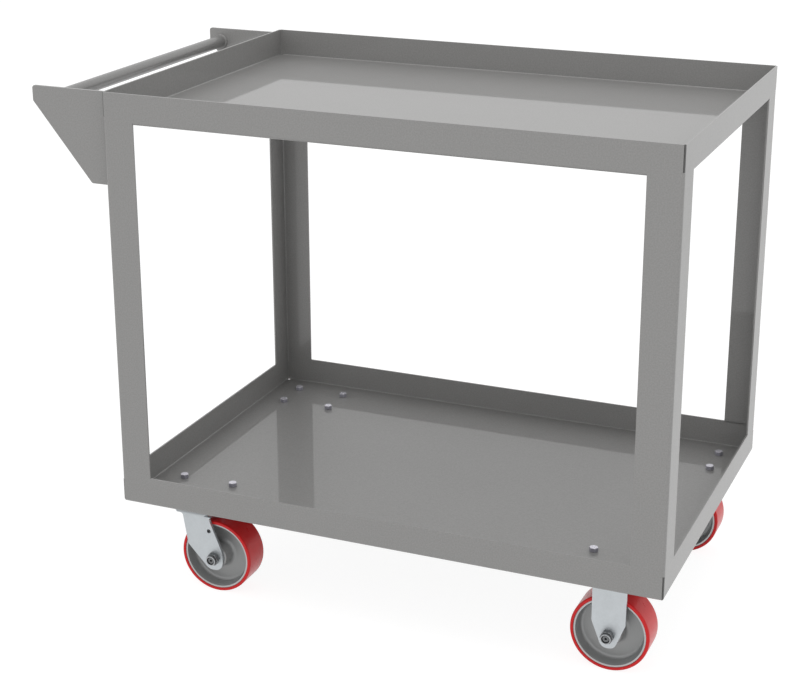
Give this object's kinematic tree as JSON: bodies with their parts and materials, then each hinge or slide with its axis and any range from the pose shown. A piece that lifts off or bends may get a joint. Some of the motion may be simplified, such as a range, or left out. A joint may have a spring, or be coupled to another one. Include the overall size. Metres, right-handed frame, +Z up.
{
  "type": "utility cart",
  "caption": "Welded steel utility cart with two lipped trays, folded angle posts, a tubular push handle and swivel and rigid casters.",
  "frame": {"origin": "on the ground, under the middle of the cart's overall length (deck and handle) and of its width", "axes": "+X runs along the deck from the handle end to the rigid caster end, +Y across it from front to back, +Z up"},
  "size_m": [1.0498, 0.6096, 0.8509],
  "materials": {
    "grey_paint": "semi-gloss grey paint with fine speckle",
    "blue_zinc": "bright blue-tinted zinc plate",
    "bright_zinc": "satin zinc plate",
    "dark_steel": "dark oiled steel",
    "bearing_steel": "ground bearing steel",
    "cast_iron": "grey coated cast iron",
    "red_tread": "glossy red moulded polyurethane"
  },
  "bodies": {
    "frame": {"top_tray": "grey_paint", "bottom_tray": "grey_paint", "post_front_left": "grey_paint", "post_front_right": "grey_paint", "post_back_left": "grey_paint", "post_back_right": "grey_paint", "handle_plate_front": "grey_paint", "handle_plate_back": "grey_paint", "handle_tube": "grey_paint", "caster_bolt_front_left_1": "blue_zinc", "caster_bolt_front_left_2": "blue_zinc", "caster_bolt_front_left_3": "blue_zinc", "caster_bolt_front_left_4": "blue_zinc", "caster_bolt_back_left_1": "blue_zinc", "caster_bolt_back_left_2": "blue_zinc", "caster_bolt_back_left_3": "blue_zinc", "caster_bolt_back_left_4": "blue_zinc", "caster_bolt_front_right_1": "blue_zinc", "caster_bolt_front_right_2": "blue_zinc", "caster_bolt_front_right_3": "blue_zinc", "caster_bolt_front_right_4": "blue_zinc", "caster_bolt_back_right_1": "blue_zinc", "caster_bolt_back_right_2": "blue_zinc", "caster_bolt_back_right_3": "blue_zinc", "caster_bolt_back_right_4": "blue_zinc", "swivel_plate_front_left": "bright_zinc", "kingpin_nut_front_left": "bright_zinc", "lower_race_front_left": "bright_zinc", "kingpin_front_left": "dark_steel", "swivel_plate_back_left": "bright_zinc", "kingpin_nut_back_left": "bright_zinc", "lower_race_back_left": "bright_zinc", "kingpin_back_left": "dark_steel", "rigid_plate_front_right": "bright_zinc", "rigid_fork_front_right": "bright_zinc", "rigid_plate_back_right": "bright_zinc", "rigid_fork_back_right": "bright_zinc", "axle_bolt_front_right": "bright_zinc", "axle_nut_front_right": "dark_steel", "roller_sleeve_front_right": "bearing_steel", "axle_bolt_back_right": "bright_zinc", "axle_nut_back_right": "dark_steel", "roller_sleeve_back_right": "bearing_steel"},
    "swivel_front_left": {"swivel_fork_front_left": "bright_zinc", "axle_bolt_front_left": "bright_zinc", "axle_nut_front_left": "dark_steel", "roller_sleeve_front_left": "bearing_steel"},
    "wheel_front_left": {"wheel_hub_front_left": "cast_iron", "wheel_tread_front_left": "red_tread"},
    "swivel_back_left": {"swivel_fork_back_left": "bright_zinc", "axle_bolt_back_left": "bright_zinc", "axle_nut_back_left": "dark_steel", "roller_sleeve_back_left": "bearing_steel"},
    "wheel_back_left": {"wheel_hub_back_left": "cast_iron", "wheel_tread_back_left": "red_tread"},
    "wheel_front_right": {"wheel_hub_front_right": "cast_iron", "wheel_tread_front_right": "red_tread"},
    "wheel_back_right": {"wheel_hub_back_right": "cast_iron", "wheel_tread_back_right": "red_tread"}
  },
  "joints": [
    {"name": "swivel_front_left", "type": "hinge", "parent": "frame", "child": "swivel_front_left", "pos_m": [-0.2943, -0.22225, 0.143], "axis": [0, 0, 1], "continuous": true},
    {"name": "roll_front_left", "type": "hinge", "parent": "swivel_front_left", "child": "wheel_front_left", "pos_m": [-0.2518, -0.22225, 0.0635], "axis": [0, 1, 0], "continuous": true},
    {"name": "swivel_back_left", "type": "hinge", "parent": "frame", "child": "swivel_back_left", "pos_m": [-0.2943, 0.22225, 0.143], "axis": [0, 0, 1], "continuous": true},
    {"name": "roll_back_left", "type": "hinge", "parent": "swivel_back_left", "child": "wheel_back_left", "pos_m": [-0.2518, 0.22225, 0.0635], "axis": [0, 1, 0], "continuous": true},
    {"name": "roll_front_right", "type": "hinge", "parent": "frame", "child": "wheel_front_right", "pos_m": [0.4296, -0.22225, 0.0635], "axis": [0, 1, 0], "continuous": true},
    {"name": "roll_back_right", "type": "hinge", "parent": "frame", "child": "wheel_back_right", "pos_m": [0.4296, 0.22225, 0.0635], "axis": [0, 1, 0], "continuous": true}
  ]
}
